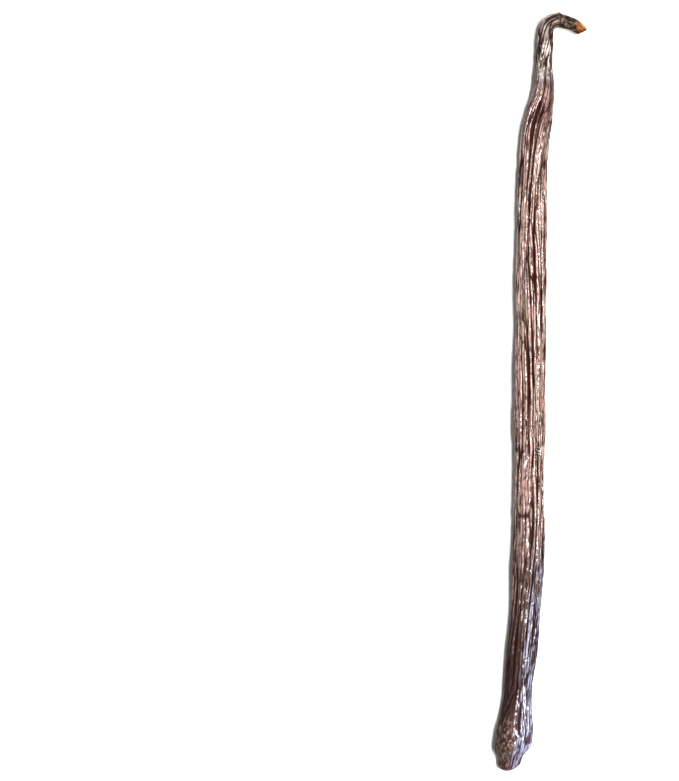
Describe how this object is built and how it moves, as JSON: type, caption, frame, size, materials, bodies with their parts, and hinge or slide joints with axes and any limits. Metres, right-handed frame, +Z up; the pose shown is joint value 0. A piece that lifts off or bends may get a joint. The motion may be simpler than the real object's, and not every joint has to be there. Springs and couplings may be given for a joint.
{
  "type": "vanilla pod",
  "caption": "Whole cured vanilla pod lying down: long, slightly flattened and furrowed lengthwise, with a bulging blossom end and a narrow stem end bent into a hook with a cut face.",
  "frame": {"origin": "middle of the pod's outline seen from above, on the surface that it rests on", "axes": "+Y along the pod from its blossom end to its hooked stem end, +Z up, +X to the side that the hook bends to"},
  "size_m": [0.021, 0.1702, 0.0061],
  "materials": {
    "pod_skin": "dark brown cured pod skin, oily, with glossy ridges, and a tan woody cut at the stem end"
  },
  "bodies": {
    "root": {"vanilla_pod": "pod_skin"}
  },
  "joints": []
}
